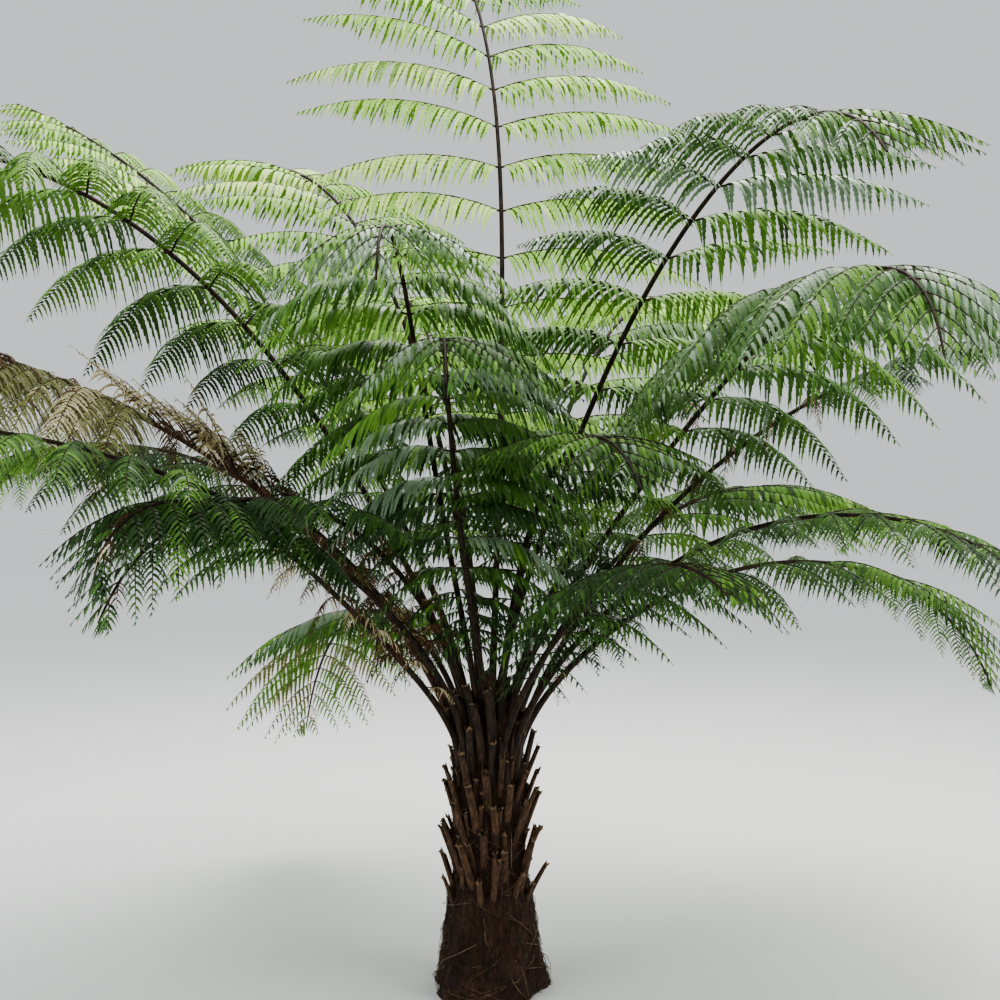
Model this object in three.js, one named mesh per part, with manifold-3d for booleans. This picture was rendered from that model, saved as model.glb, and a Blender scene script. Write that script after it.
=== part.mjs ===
// A tree fern: one fibrous trunk, set with the stubs of old fronds, and a crown of arching fronds.
// Millimetres, +Z up. The origin is the middle of the flat cut under the trunk, at ground level.
// Headings are degrees about +Z from +X, and elevations are degrees above the horizon.
import * as THREE from "three";
import { mergeVertices } from "three/addons/utils/BufferGeometryUtils.js";
import Module from "manifold-3d";

const wasm = await Module();
wasm.setup();

// Driving sizes of the whole plant.
const CLEARANCE = 0.35; // between a frond's foot and the trunk, and between the two halves of a split rib
const SMOOTHING = 0.4; // slivers left by joining are smoothed away up to this depth
const LEAF_GAP = 3; // least distance between a leaflet and any other frond
const GOLDEN_ANGLE = 137.508;

// The trunk, from the ground up: its radius at each height, with the foot spread by its roots.
const TRUNK_SIDES = 16;
const TRUNK_PROFILE = [
  { height: 0, radius: 168 },
  { height: 60, radius: 150 },
  { height: 180, radius: 137 },
  { height: 270, radius: 122 },
  { height: 360, radius: 104 },
  { height: 620, radius: 106 },
  { height: 720, radius: 98 },
  { height: 800, radius: 78 },
  { height: 880, radius: 50 },
  { height: 945, radius: 18 },
];
const TRUNK_TOP = 955;
const TRUNK_LEAN = { x: -0.008, y: 0.012 }; // sideways travel for each unit of height
const FOOT = { height: 330, lobes: 5, swell: 0.1 }; // root lobes that die out with height

// Stubs of fallen fronds, in one spiral up the trunk.
const STUB = {
  count: 46,
  lowest: 235,
  highest: 560,
  sunk: 24,
  length: 190,
  halfWidth: 15,
  halfThickness: 10,
  elevation: 70,
  lengthSpread: 0.35, // of the length, from a shortest share of 0.8
  elevationSpread: 8,
  footTaper: 1.2,
  endTaper: 0.8,
};

// The stalk that runs the length of a frond.
const RIB = {
  sides: 4,
  segments: 10,
  footRadius: 15,
  tipRadius: 2.5,
  taper: 0.85,
  steps: 48,
  footElevation: 85,
  heel: 0.1, // share of the length in which the foot bends out from upright
};

// The blade: pairs of long leaflets along the upper part of the rib.
const BLADE = {
  start: 0.29, // share of the rib below the lowest pair
  end: 0.985,
  pairs: 12,
  crowding: 1.35, // how far the pairs draw together towards the tip
  widest: 0.42, // place along the blade of the longest pair
  footShare: 0.6, // lowest pair's length as a share of the longest
  tipShare: 0.1,
  leafToRib: 0.225, // longest leaflet as a share of the rib
  footAngle: 80, // leaflet against the rib
  tipAngle: 42,
  vary: 0.14, // spread of leaflet lengths about the rule
  lift: 0.14,
  droop: 0.38,
  halfWidth: 0.125, // of a leaflet's own length
  halfWidthMost: 62,
  halfThickness: 0.006,
  halfThicknessLeast: 1.6,
  longLeaf: 370, // a leaflet over this length gets one more bend
  outlines: { 2: [0.2, 1, 0], 3: [0.2, 1, 0.75, 0] }, // width at each bend, from root to tip
  trims: [1, 0.82, 0.66, 0.5],
};
const SPLIT_TURN = 100; // a rib that turns down through more degrees than this is split at its bend
const SPLIT_MARGIN = 0.012; // share of the rib on each side of a split with no leaflets

const GREEN = 0x4d7a34;
const BROWNED = 0x8a6a3f;
const BARK = 0x4a3222;

// The fronds, in three rings round the growing tip. Each has the heading of its seat and of its rib,
// the elevations at which the rib leaves the crown and ends, its length and how late it bends.
// Some swing their heading by sway degrees, and some have leaflets that droop more than most.
const RINGS = [
  {
    radius: 27,
    height: 815,
    fronds: [
      { name: "back_tall", seat: 70, heading: 63, launch: 84, tip: 30, length: 3200, late: 2.6, sway: 64 },
      { name: "right_tall", seat: -20, heading: -33, launch: 65, tip: -47, length: 2560, late: 2.7, sway: -48 },
      { name: "back_left_upper", seat: 132, heading: 128, launch: 73, tip: -10, length: 2850, late: 2.2 },
    ],
  },
  {
    radius: 56,
    height: 740,
    fronds: [
      {
        name: "front_tall", seat: -116, heading: -110, launch: 55, tip: -79, length: 2065, late: 6,
        sway: 20, droop: 0.8,
      },
      {
        name: "front_middle", seat: -88, heading: -105, launch: 50, tip: -65, length: 1805, late: 5.6,
        sway: 20, droop: 0.8,
      },
      { name: "front_right_upper", seat: -60, heading: -74, launch: 64, tip: -45, length: 1650, late: 2.2 },
      {
        name: "right_middle", seat: -33, heading: -11, launch: 52, tip: -59, length: 2480, late: 3,
        sway: -85, droop: 0.7,
      },
      { name: "back_right_middle", seat: 24, heading: 27, launch: 57, tip: -25, length: 2660, late: 2.2 },
      { name: "back_right_upper", seat: 58, heading: 60, launch: 65, tip: -30, length: 2660, late: 2.2 },
      { name: "back_middle", seat: 105, heading: 105, launch: 63, tip: -30, length: 2760, late: 2.2 },
      { name: "back_left_tall", seat: 150, heading: 155, launch: 62, tip: 22, length: 2960, late: 1.7 },
      { name: "left_tall", seat: -176, heading: -156, launch: 57, tip: -59, length: 2845, late: 3.1, sway: 26 },
      { name: "front_left_middle", seat: -146, heading: -128, launch: 54, tip: -65, length: 1780, late: 2 },
    ],
  },
  {
    radius: 84,
    height: 655,
    fronds: [
      {
        name: "left_browned", seat: 181, heading: 192, launch: 56, tip: 4, length: 2400, late: 1.2,
        sway: 9, droop: 0.75,
      },
      {
        name: "left_drooping", seat: 204, heading: 222, launch: 38, tip: -86, length: 1735, late: 5.2,
        sway: 20, droop: 0.6,
      },
      {
        name: "front_left_low", seat: 228, heading: 228, launch: 50, tip: -7, length: 2280, late: 1.2,
        sway: -28, droop: 0.45,
      },
      {
        name: "front_low", seat: -66, heading: -51, launch: 52, tip: -19, length: 1560, late: 1.4,
        sway: -29, droop: 0.58,
      },
      { name: "front_right_low", seat: -40, heading: -28, launch: 48, tip: -60, length: 2030, late: 2 },
      { name: "right_long", seat: -12, heading: -8, launch: 58, tip: -4, length: 2260, late: 1.7 },
      { name: "right_low", seat: 13, heading: 8, launch: 41, tip: -70, length: 1980, late: 1.9 },
      { name: "back_right_low", seat: 42, heading: 42, launch: 45, tip: -45, length: 2280, late: 1.9 },
      { name: "back_left_middle", seat: 158, heading: 163, launch: 51, tip: -50, length: 2380, late: 2 },
      {
        name: "back_left_low", seat: 134, heading: 120, launch: 36, tip: -64, length: 2000, late: 1.2,
        sway: -7, droop: 0.58,
      },
    ],
  },
];

const FRONDS = RINGS.flatMap(({ radius, height, fronds }) =>
  fronds.map((frond) => ({ sway: 0, droop: BLADE.droop, ...frond, radius, height })),
);

const radians = THREE.MathUtils.degToRad;

// A number from 0 to 1 that depends only on its two whole-number keys.
function scatter(a, b) {
  const wave = Math.sin(a * 12.9898 + b * 78.233) * 43758.5453;
  return wave - Math.floor(wave);
}

// The middle of the leaning trunk at a height.
function trunkCentre(height) {
  return new THREE.Vector3(TRUNK_LEAN.x * height, TRUNK_LEAN.y * height, height);
}

// A closed three.js geometry as a solid that can be joined and cut.
function solidOf(geometry) {
  const bare = geometry.clone();
  bare.deleteAttribute("normal");
  bare.deleteAttribute("uv");
  const merged = mergeVertices(bare, 1e-3);
  return new wasm.Manifold(
    new wasm.Mesh({
      numProp: 3,
      vertProperties: merged.attributes.position.array,
      triVerts: new Uint32Array(merged.index.array),
    }),
  );
}

// A solid as a three.js geometry.
function geometryOf(solid) {
  const { numVert, numProp, vertProperties, triVerts } = solid.getMesh();
  const positions = new Float32Array(numVert * 3);
  for (let i = 0; i < numVert; i++) {
    positions.set(vertProperties.subarray(i * numProp, i * numProp + 3), i * 3);
  }
  const geometry = new THREE.BufferGeometry();
  geometry.setAttribute("position", new THREE.BufferAttribute(positions, 3));
  geometry.setIndex(new THREE.BufferAttribute(triVerts, 1));
  geometry.computeVertexNormals();
  return geometry;
}

// The largest body of a solid, with any hollow that joining has sealed inside it filled.
function whole(solid) {
  return solid.decompose().reduce((most, body) => (body.volume() > most.volume() ? body : most));
}

// Moves every vertex of a unit cylinder or cone: place(share, across, out) gets the share of its
// height and the two offsets from its axis, and gives the new point.
function bend(geometry, place) {
  const position = geometry.attributes.position;
  for (let i = 0; i < position.count; i++) {
    const point = place(position.getY(i) + 0.5, position.getX(i), position.getZ(i));
    position.setXYZ(i, point.x, point.y, point.z);
  }
  return geometry;
}

// The trunk without its stubs. A grown one is thicker by that much all round.
function trunkCore(grown = 0) {
  const profile = [new THREE.Vector2(0, -grown)];
  for (const { height, radius } of TRUNK_PROFILE) {
    profile.push(new THREE.Vector2(radius + grown, height === 0 ? -grown : height));
  }
  profile.push(new THREE.Vector2(0, TRUNK_TOP + grown));
  const core = new THREE.LatheGeometry(profile, TRUNK_SIDES);
  core.rotateX(Math.PI / 2);
  const position = core.attributes.position;
  for (let i = 0; i < position.count; i++) {
    const [x, y, z] = [position.getX(i), position.getY(i), position.getZ(i)];
    const fade = Math.max(0, 1 - z / FOOT.height);
    const swell = 1 + FOOT.swell * fade * Math.sin(FOOT.lobes * Math.atan2(y, x) + 0.9);
    const centre = trunkCentre(z);
    position.setXYZ(i, x * swell + centre.x, y * swell + centre.y, z);
  }
  return solidOf(core);
}

// The trunk's radius at a height, between the heights of its profile.
function trunkRadius(height) {
  const above = TRUNK_PROFILE.findIndex((ring) => ring.height > height);
  const [low, high] = [TRUNK_PROFILE[above - 1], TRUNK_PROFILE[above]];
  return THREE.MathUtils.mapLinear(height, low.height, high.height, low.radius, high.radius);
}

// One stub: a flat tapering bar that leaves the trunk steeply and ends bluntly.
function stub(index) {
  const heading = radians(index * GOLDEN_ANGLE);
  const height = STUB.lowest + ((STUB.highest - STUB.lowest) * index) / (STUB.count - 1);
  const length = STUB.length * (0.8 + STUB.lengthSpread * scatter(index, 1));
  const elevation = radians(STUB.elevation + STUB.elevationSpread * (scatter(index, 2) - 0.5));
  const outward = new THREE.Vector3(Math.cos(heading), Math.sin(heading), 0);
  const side = new THREE.Vector3(-Math.sin(heading), Math.cos(heading), 0);
  const along = outward.clone().multiplyScalar(Math.cos(elevation)).setZ(Math.sin(elevation));
  const face = new THREE.Vector3().crossVectors(along, side);
  const foot = trunkCentre(height).addScaledVector(outward, trunkRadius(height) - STUB.sunk);
  const bar = new THREE.CylinderGeometry(1, 1, 1, 3, 1, false, Math.PI / 2);
  const taper = (share) => THREE.MathUtils.lerp(STUB.footTaper, STUB.endTaper, share);
  return solidOf(
    bend(bar, (share, across, out) =>
      foot
        .clone()
        .addScaledVector(along, share * length)
        .addScaledVector(face, across * STUB.halfThickness * taper(share))
        .addScaledVector(side, out * STUB.halfWidth * taper(share)),
    ),
  );
}

// The rib's direction at a share of its length, with the upward and sideways directions on it.
function ribFrame(frond, share) {
  const free = frond.launch + (frond.tip - frond.launch) * share ** frond.late;
  const elevation = radians(free + (RIB.footElevation - free) * Math.exp(-share / RIB.heel));
  const heading = radians(frond.heading + frond.sway * share);
  const [level, rise] = [Math.cos(elevation), Math.sin(elevation)];
  return {
    along: new THREE.Vector3(level * Math.cos(heading), level * Math.sin(heading), rise),
    up: new THREE.Vector3(-rise * Math.cos(heading), -rise * Math.sin(heading), level),
    side: new THREE.Vector3(-Math.sin(heading), Math.cos(heading), 0),
  };
}

// The rib's centre line, as points at even steps.
function ribLine(frond) {
  const seat = radians(frond.seat);
  const outward = new THREE.Vector3(Math.cos(seat), Math.sin(seat), 0);
  const start = trunkCentre(frond.height).addScaledVector(outward, frond.radius);
  const points = [start];
  for (let i = 0; i < RIB.steps; i++) {
    const { along } = ribFrame(frond, (i + 0.5) / RIB.steps);
    points.push(points[i].clone().addScaledVector(along, frond.length / RIB.steps));
  }
  return points;
}

// A point on the centre line at a share of its length.
function ribPoint(line, share) {
  const place = Math.min(share, 0.99999) * RIB.steps;
  const index = Math.floor(place);
  return line[index].clone().lerp(line[index + 1], place - index);
}

function ribRadius(share) {
  return RIB.tipRadius + (RIB.footRadius - RIB.tipRadius) * (1 - share) ** RIB.taper;
}

// A point on the straight stretches between the rings of a frond's part.
function chordPoint({ line, from, to, segments }, share) {
  const step = (to - from) / segments;
  const low = from + step * Math.min(segments - 1, Math.floor((share - from) / step));
  return ribPoint(line, low).lerp(ribPoint(line, low + step), (share - low) / step);
}

// The rib of one part of a frond.
function ribPiece({ frond, line, from, to, segments }) {
  const tube = new THREE.CylinderGeometry(1, 1, 1, RIB.sides, segments, false, Math.PI / RIB.sides);
  return solidOf(
    bend(tube, (height, across, out) => {
      const share = from + (to - from) * height;
      const { up, side } = ribFrame(frond, share);
      return ribPoint(line, share)
        .addScaledVector(up, across * ribRadius(share))
        .addScaledVector(side, out * ribRadius(share));
    }),
  );
}

// Where a pair of leaflets stands: its place along the blade, and its share of the whole rib.
function leafPlace(index) {
  const place = 1 - (1 - index / BLADE.pairs) ** BLADE.crowding;
  return { place, share: BLADE.start + (BLADE.end - BLADE.start) * place };
}

// A leaflet's length at a place along the blade, as a share of the longest.
function leafShare(place) {
  const { widest, footShare, tipShare } = BLADE;
  if (place < widest) return 1 - (1 - footShare) * (1 - place / widest) ** 2;
  return 1 - (1 - tipShare) * ((place - widest) / (1 - widest)) ** 2.2;
}

// One leaflet: a thin blade that leaves the rib at an angle, arches and droops to a point.
function leaflet(part, index, side, trim) {
  const { frond } = part;
  const order = FRONDS.indexOf(frond);
  const { place, share } = leafPlace(index);
  const vary = 1 + BLADE.vary * (scatter(order * 31 + index, side + 2) - 0.5);
  const full = frond.length * BLADE.leafToRib * leafShare(place) * vary;
  const length = full * trim;
  const angle = radians(THREE.MathUtils.lerp(BLADE.footAngle, BLADE.tipAngle, place ** 1.5));
  const frame = ribFrame(frond, share);
  const root = chordPoint(part, share);
  const out = frame.along
    .clone()
    .multiplyScalar(Math.cos(angle))
    .addScaledVector(frame.side, side * Math.sin(angle))
    .addScaledVector(frame.up, BLADE.lift)
    .normalize();
  const halfWidth = Math.min(BLADE.halfWidthMost, full * BLADE.halfWidth);
  const halfThickness = Math.max(BLADE.halfThicknessLeast, full * BLADE.halfThickness);
  const segments = length > BLADE.longLeaf ? 3 : 2;
  const outline = BLADE.outlines[segments];
  const fall = new THREE.Vector3(0, 0, -frond.droop);
  const middle = out.clone().add(fall).normalize();
  const width = frame.along.clone().addScaledVector(middle, -frame.along.dot(middle));
  width.normalize().multiplyScalar(side);
  const blade = new THREE.ConeGeometry(1, 1, 3, segments);
  return solidOf(
    bend(blade, (height, wide, ridge) => {
      const heading = out.clone().addScaledVector(fall, 2 * height);
      const thick = new THREE.Vector3().crossVectors(width, heading).normalize();
      const level = Math.round(height * segments);
      const spread = height < 1 ? outline[level] / (1 - level / segments) : 0;
      return root
        .clone()
        .addScaledVector(out, length * height)
        .addScaledVector(fall, length * height * height)
        .addScaledVector(thick, ridge * halfThickness * Math.max(1, spread))
        .addScaledVector(width, wide * halfWidth * spread);
    }),
  );
}

// Where a rib that turns far over is split: the share at which it has turned halfway.
function splitShare(frond) {
  if (frond.launch - frond.tip < SPLIT_TURN) return null;
  return 0.5 ** (1 / frond.late);
}

// The pieces of every frond: one rib, or two where it is split, and the leaflets on each.
function growFronds() {
  const parts = [];
  for (const frond of FRONDS) {
    const line = ribLine(frond);
    const split = splitShare(frond);
    const gap = CLEARANCE / 2 / frond.length;
    const spans = split ? [[0, split - gap], [split + gap, 1]] : [[0, 1]];
    spans.forEach(([from, to], half) => {
      const segments = Math.round(RIB.segments * (to - from)) + half;
      const part = { frond, line, from, to, half, segments, leaves: [] };
      parts.push({ ...part, rib: ribPiece(part) });
    });
  }
  return parts;
}

function boxesMeet(a, b, margin) {
  return [0, 1, 2].every((i) => a.min[i] < b.max[i] + margin && b.min[i] < a.max[i] + margin);
}

function obstacle(owner, solid) {
  return { owner, solid, box: solid.boundingBox() };
}

// Whether a leaflet keeps its distance from every piece in its way.
function isClear(solid, owner, obstacles) {
  const box = solid.boundingBox();
  return obstacles.every(
    (other) =>
      other.owner === owner ||
      !boxesMeet(box, other.box, LEAF_GAP) ||
      solid.minGap(other.solid, LEAF_GAP) >= LEAF_GAP,
  );
}

// Adds the leaflets pair by pair over all fronds. One that would touch another frond is
// shortened, and one that is still in the way is left out.
function growLeaflets(parts, trunk) {
  const obstacles = parts.map((part) => obstacle(part, part.rib));
  obstacles.push(obstacle(null, trunk));
  for (let index = 0; index <= BLADE.pairs; index++) {
    const { share } = leafPlace(index);
    for (const part of parts) {
      const low = part.from > 0 ? part.from + SPLIT_MARGIN : 0;
      const high = part.to < 1 ? part.to - SPLIT_MARGIN : 1;
      if (share < low || share > high) continue;
      for (const side of index === BLADE.pairs ? [1] : [-1, 1]) {
        for (const trim of BLADE.trims) {
          const solid = leaflet(part, index, side, trim);
          if (!isClear(solid, part, obstacles)) continue;
          part.leaves.push(solid);
          obstacles.push(obstacle(part, solid));
          break;
        }
      }
    }
  }
}

function named(name, solid, color, roughness) {
  const material = new THREE.MeshStandardMaterial({ color, roughness, metalness: 0 });
  const mesh = new THREE.Mesh(geometryOf(solid), material);
  mesh.name = name;
  return mesh;
}

const fern = new THREE.Group();
const stubs = Array.from({ length: STUB.count }, (_, index) => stub(index));
const trunk = whole(wasm.Manifold.union([trunkCore(), ...stubs]).simplify(SMOOTHING));
fern.add(named("trunk", trunk, BARK, 0.95));

const seatCut = trunkCore(CLEARANCE);
const parts = growFronds();
growLeaflets(parts, trunk);
for (const { frond, half, rib, leaves } of parts) {
  const name = `frond_${frond.name}${half ? "_tip" : ""}`;
  const color = frond.name === "left_browned" ? BROWNED : GREEN;
  const grown = wasm.Manifold.union([rib, ...leaves]).simplify(SMOOTHING);
  fern.add(named(name, whole(half ? grown : grown.subtract(seatCut)), color, 0.6));
}

export default fern;
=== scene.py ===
"""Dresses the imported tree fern: a fibrous trunk set with old stubs, and a crown of finely divided fronds.

Metres, +Z up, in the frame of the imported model. Headings are degrees about +Z from +X, and elevations
are degrees above the horizon. The fronds grow by the rule of the part's source, carried on from the
long leaflets to the small leaves that hang from them.
"""

import logging
import math
from collections.abc import Iterator
from dataclasses import dataclass
from enum import Enum

import bmesh
import bpy
import numpy as np
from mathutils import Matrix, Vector, noise


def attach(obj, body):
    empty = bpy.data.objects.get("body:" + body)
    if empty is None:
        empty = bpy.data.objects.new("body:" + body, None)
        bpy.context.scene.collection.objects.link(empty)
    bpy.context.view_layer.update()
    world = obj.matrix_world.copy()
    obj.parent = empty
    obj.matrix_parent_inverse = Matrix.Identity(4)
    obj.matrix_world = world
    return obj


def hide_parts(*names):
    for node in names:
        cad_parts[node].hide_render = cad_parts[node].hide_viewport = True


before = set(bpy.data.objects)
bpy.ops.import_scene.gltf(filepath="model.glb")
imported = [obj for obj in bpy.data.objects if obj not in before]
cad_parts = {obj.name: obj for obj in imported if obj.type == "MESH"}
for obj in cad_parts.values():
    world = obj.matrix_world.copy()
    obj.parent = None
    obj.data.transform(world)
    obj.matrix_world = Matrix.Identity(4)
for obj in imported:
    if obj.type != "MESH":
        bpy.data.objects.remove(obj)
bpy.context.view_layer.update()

LOG = logging.getLogger("tree_fern")
BODY = "root"
Colour = tuple[float, float, float]
Point = tuple[float, float, float]
Span = tuple[float, float]
Array = np.ndarray
Material = bpy.types.Material
Piece = bpy.types.Object
Socket = bpy.types.NodeSocket
DOWN = np.array((0.0, 0.0, -1.0))
BOTH_SIDES = (-1.0, 1.0)
SPLIT_BEND = 100  # degrees from launch to tip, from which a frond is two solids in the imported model
FROND_SEED = 1000
FIBRE_SEED = 77
LEAN = (-0.008, 0.012)  # of the trunk along x and y, for each metre of height
SPIRAL_STEP = 137.508  # degrees from one stub of a spiral to the next


class LeafTone(Enum):
    """The tones of leaf that the crown shows, each with its place among the leaf materials; some are painted
    light or shade.
    """

    # the darkest green, partly the leaves' own colour and partly painted shade
    DEEP = 0
    GREEN = 1
    FRESH = 2
    # painted back light: a glowing yellow green for leaves lit from behind
    BRIGHT = 3
    # painted back light: the palest green, for leaves that glow most with light from behind
    PALE = 4
    # painted reflection: a pale blue green for the sky mirrored on the leaves' upper faces
    SILVER = 5
    OLIVE = 6
    STRAW = 7
    RUST = 8


class Mood(Enum):
    """How the leaves of one stretch of a frond are coloured, as shares of each tone; several moods paint
    light or shade.
    """

    # painted shade: the darkest mood, for stretches deep in the crown's shade
    DIM = ((LeafTone.DEEP, 0.7), (LeafTone.GREEN, 0.3))
    # painted shade, with a little painted sky reflection
    SHADED = ((LeafTone.DEEP, 0.45), (LeafTone.GREEN, 0.4), (LeafTone.FRESH, 0.1), (LeafTone.SILVER, 0.05))
    # live greens, with a little of the darkest green, partly painted shade, and a little painted sky
    # reflection
    GREEN = ((LeafTone.GREEN, 0.45), (LeafTone.DEEP, 0.1), (LeafTone.FRESH, 0.4), (LeafTone.SILVER, 0.05))
    # painted back light, over live greens
    LIT = ((LeafTone.FRESH, 0.5), (LeafTone.BRIGHT, 0.35), (LeafTone.GREEN, 0.15))
    # painted back light at its strongest
    GLOWING = ((LeafTone.BRIGHT, 0.6), (LeafTone.PALE, 0.3), (LeafTone.FRESH, 0.1))
    # painted reflection of the sky, over live greens
    SILVERED = ((LeafTone.SILVER, 0.35), (LeafTone.GREEN, 0.35), (LeafTone.FRESH, 0.3))
    FADED = ((LeafTone.OLIVE, 0.62), (LeafTone.STRAW, 0.22), (LeafTone.RUST, 0.16))
    YELLOWED = ((LeafTone.OLIVE, 0.55), (LeafTone.FRESH, 0.4), (LeafTone.STRAW, 0.05))
    WITHERED = ((LeafTone.STRAW, 0.4), (LeafTone.RUST, 0.6))
    PERISHED = ((LeafTone.STRAW, 0.15), (LeafTone.RUST, 0.85))


class Ring(Enum):
    """The rings of frond seats round the growing tip, each with its radius and height."""

    INNER = (0.027, 0.815)
    MIDDLE = (0.056, 0.74)
    OUTER = (0.084, 0.655)


INNER, MIDDLE, OUTER = Ring


@dataclass(frozen=True)
class FrondForm:
    """The named sizes of one frond, as in the part's source, and how its leaves are coloured, with painted
    light and shade.
    """

    name: str
    ring: Ring
    seat: float  # the heading of its seat on the ring
    heading: float
    launch: float  # its elevation once it is free of its foot
    tip: float  # its elevation at its tip
    length: float
    late: float  # the higher this power, the nearer its tip it bends
    mood: Mood
    end_mood: Mood
    sway: float = 0.0  # how far its heading turns from foot to tip
    droop: float = 0.38
    pairs: int = 15
    withered: Span = (0.0, 0.0)  # the stretch of the blade with withered leaflets
    bare_sides: tuple[int, ...] = ()  # the sides, -1 or 1, that have lost most of their withered leaflets
    remnants: int = 0  # withered leaflets that still hang from the stalk below the blade
    folds: int = 0  # more folded leaflets in its withered stretch
    browned: bool = False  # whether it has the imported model's browned finish
    skirts: int = 2  # pairs of short leaflets that carry the blade on down its stalk
    level: float = 0.72  # how far its leaflets turn from the frond's plane to the level

    @property
    def nodes(self) -> list[str]:
        """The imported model's nodes for it: two where it bends strongly, and otherwise one."""
        bent = self.launch - self.tip >= SPLIT_BEND
        return [f"frond_{self.name}"] + ([f"frond_{self.name}_tip"] if bent else [])


# Each frond's two moods paint the shade or the back light on it where that falls, and the sky's reflection
# on some.
FRONDS = (
    FrondForm("back_tall", INNER, 70, 63, 84, 30, 3.2, 2.6, Mood.GLOWING, Mood.GLOWING, sway=64, pairs=17),
    FrondForm("right_tall", INNER, -20, -33, 65, -47, 2.56, 2.7, Mood.GREEN, Mood.SILVERED, sway=-48),
    FrondForm("back_left_upper", INNER, 132, 128, 73, -10, 2.85, 2.2, Mood.LIT, Mood.GLOWING),
    FrondForm("front_tall", MIDDLE, -116, -110, 55, -79, 2.065, 6, Mood.SHADED, Mood.SILVERED, sway=20,
              droop=0.8, skirts=3),
    FrondForm("front_middle", MIDDLE, -88, -105, 50, -65, 1.805, 5.6, Mood.SHADED, Mood.GREEN, sway=20,
              droop=0.8, skirts=3),
    FrondForm("front_right_upper", MIDDLE, -60, -74, 64, -45, 1.65, 2.2, Mood.SHADED, Mood.GREEN),
    FrondForm("right_middle", MIDDLE, -33, -11, 52, -59, 2.48, 3, Mood.GREEN, Mood.SILVERED, sway=-85,
              droop=0.7, pairs=17),
    FrondForm("back_right_middle", MIDDLE, 24, 27, 57, -25, 2.66, 2.2, Mood.GREEN, Mood.LIT,
              withered=(0.1, 0.3), bare_sides=(-1,)),
    FrondForm("back_right_upper", MIDDLE, 58, 60, 65, -30, 2.66, 2.2, Mood.LIT, Mood.GLOWING),
    FrondForm("back_middle", MIDDLE, 105, 105, 63, -30, 2.76, 2.2, Mood.LIT, Mood.LIT),
    FrondForm("back_left_tall", MIDDLE, 150, 155, 62, 22, 2.96, 1.7, Mood.LIT, Mood.GLOWING),
    FrondForm("left_tall", MIDDLE, -176, -156, 57, -59, 2.845, 3.1, Mood.GREEN, Mood.GREEN, sway=26,
              droop=0.5, pairs=17),
    FrondForm("front_left_middle", MIDDLE, -146, -128, 54, -65, 1.78, 2, Mood.SHADED, Mood.SHADED,
              withered=(0.0, 0.3), bare_sides=(-1, 1), remnants=6, skirts=0),
    FrondForm("left_browned", OUTER, 181, 192, 56, 4, 2.4, 1.2, Mood.FADED, Mood.FADED, sway=9,
              droop=0.75, pairs=30, withered=(0.0, 0.46), bare_sides=(1,), remnants=20, folds=34, skirts=0,
              browned=True),
    FrondForm("left_drooping", OUTER, 204, 222, 38, -86, 1.735, 5.2, Mood.DIM, Mood.DIM, sway=20, droop=0.6,
              pairs=20, withered=(0.0, 0.38), bare_sides=(-1, 1), remnants=10, skirts=0),
    FrondForm("front_left_low", OUTER, 228, 228, 50, -7, 2.28, 1.2, Mood.SHADED, Mood.GREEN, sway=-28,
              droop=0.45, withered=(0.0, 0.2), bare_sides=(-1, 1), remnants=10, skirts=0),
    FrondForm("front_low", OUTER, -66, -51, 52, -19, 1.56, 1.4, Mood.SHADED, Mood.SHADED, sway=-29,
              droop=0.58),
    FrondForm("front_right_low", OUTER, -40, -28, 48, -60, 2.03, 2, Mood.SHADED, Mood.GREEN, remnants=3),
    FrondForm("right_long", OUTER, -12, -8, 58, -4, 2.26, 1.7, Mood.SHADED, Mood.SHADED,
              withered=(0.0, 0.5), bare_sides=(-1,), remnants=10),
    FrondForm("right_low", OUTER, 13, 8, 41, -70, 1.98, 1.9, Mood.GREEN, Mood.GREEN, remnants=4),
    FrondForm("back_right_low", OUTER, 42, 42, 45, -45, 2.28, 1.9, Mood.GREEN, Mood.LIT, remnants=2),
    FrondForm("back_left_middle", OUTER, 158, 163, 51, -50, 2.38, 2, Mood.GREEN, Mood.LIT, remnants=4),
    FrondForm("back_left_low", OUTER, 134, 120, 36, -64, 2.0, 1.2, Mood.GREEN, Mood.YELLOWED, sway=-7,
              droop=0.58, remnants=6, level=0.2),
)


def scatter(first: float, second: float) -> float:
    """A number from 0 to 1 that depends only on its two whole-number keys, as in the part's source."""
    wave = math.sin(first * 12.9898 + second * 78.233) * 43758.5453
    return wave - math.floor(wave)


def unit(vectors: Array) -> Array:
    """Vectors along the last axis, each scaled to length 1."""
    return vectors / np.maximum(np.linalg.norm(vectors, axis=-1, keepdims=True), 1e-12)


def square_to(vectors: Array, heading: Array) -> Array:
    """The part of vectors that stands square to a heading, scaled to length 1."""
    return unit(vectors - (vectors * heading).sum(-1, keepdims=True) * heading)


def trunk_centre(height: float | Array) -> Array:
    """The middle of the leaning trunk at one height or an array of them."""
    height = np.asarray(height, float)
    return np.stack((LEAN[0] * height, LEAN[1] * height, height), axis=-1)


def add_object(name: str, data: bpy.types.ID) -> Piece:
    """Adds an object to the scene, at the origin.

    Args:
        name: Its name.
        data: Its mesh, lamp or camera.

    Returns:
        The object.
    """
    added = bpy.data.objects.new(name, data)
    bpy.context.scene.collection.objects.link(added)
    return added


def from_bmesh(shape: bmesh.types.BMesh, name: str) -> Piece:
    """Turns a bmesh into an object at the origin.

    Args:
        shape: The bmesh, which is freed.
        name: The object's name.

    Returns:
        The object.
    """
    mesh = bpy.data.meshes.new(name)
    shape.to_mesh(mesh)
    shape.free()
    return add_object(name, mesh)


def set_in_place(piece: Piece, nodes: list[str], slot: str | None) -> None:
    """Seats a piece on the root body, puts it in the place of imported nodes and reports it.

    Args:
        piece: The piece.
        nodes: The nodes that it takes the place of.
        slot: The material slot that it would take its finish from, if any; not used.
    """
    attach(piece, BODY)
    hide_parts(*nodes)
    LOG.info("%s: %d faces", piece.name, len(piece.data.polygons))


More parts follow.
